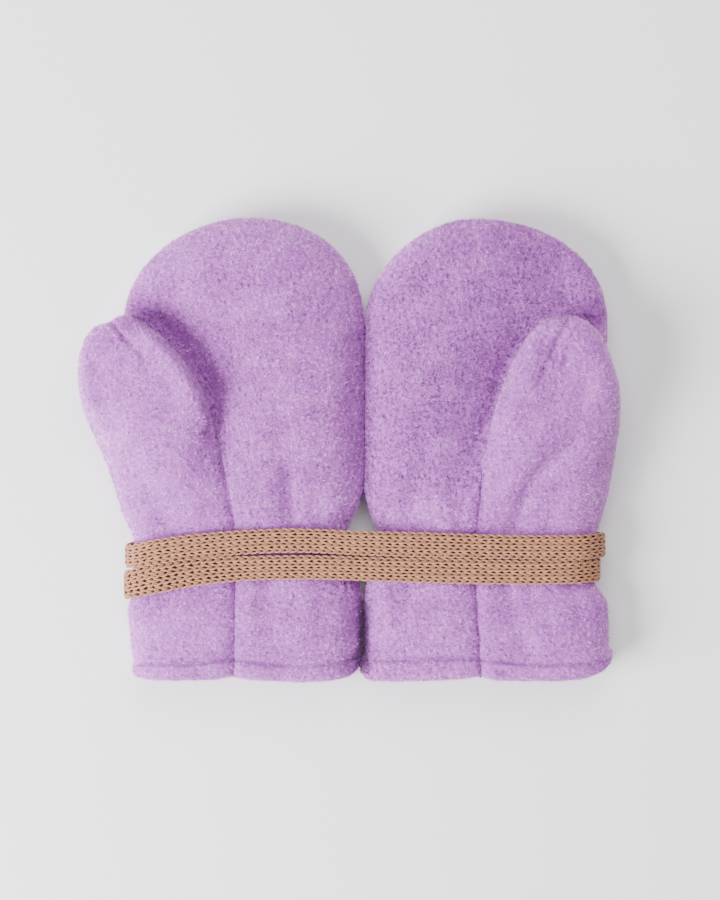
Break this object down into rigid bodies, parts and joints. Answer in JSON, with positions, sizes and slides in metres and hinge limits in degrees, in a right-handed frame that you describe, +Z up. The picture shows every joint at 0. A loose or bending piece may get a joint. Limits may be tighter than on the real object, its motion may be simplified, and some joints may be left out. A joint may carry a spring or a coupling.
{
  "type": "pair of baby mittens",
  "caption": "Pair of baby mittens in boiled wool, laid flat side by side with the palms up, thumbs folded over them, and a flat knitted cord wound round both wrists.",
  "frame": {"origin": "on the surface that the mittens lie on, under the middle of the pair", "axes": "+X across both mittens to the right, +Y towards the fingertips, +Z up from the surface"},
  "size_m": [0.1568, 0.1348, 0.0245],
  "materials": {
    "boiled_wool": "soft felted wool with a short nap, lilac",
    "knitted_cord": "flat knitted band, pale brown"
  },
  "bodies": {
    "root": {"left_back": "boiled_wool", "left_palm": "boiled_wool", "left_thumb_front": "boiled_wool", "right_back": "boiled_wool", "right_palm": "boiled_wool", "right_thumb_front": "boiled_wool", "cord": "knitted_cord"}
  },
  "joints": []
}
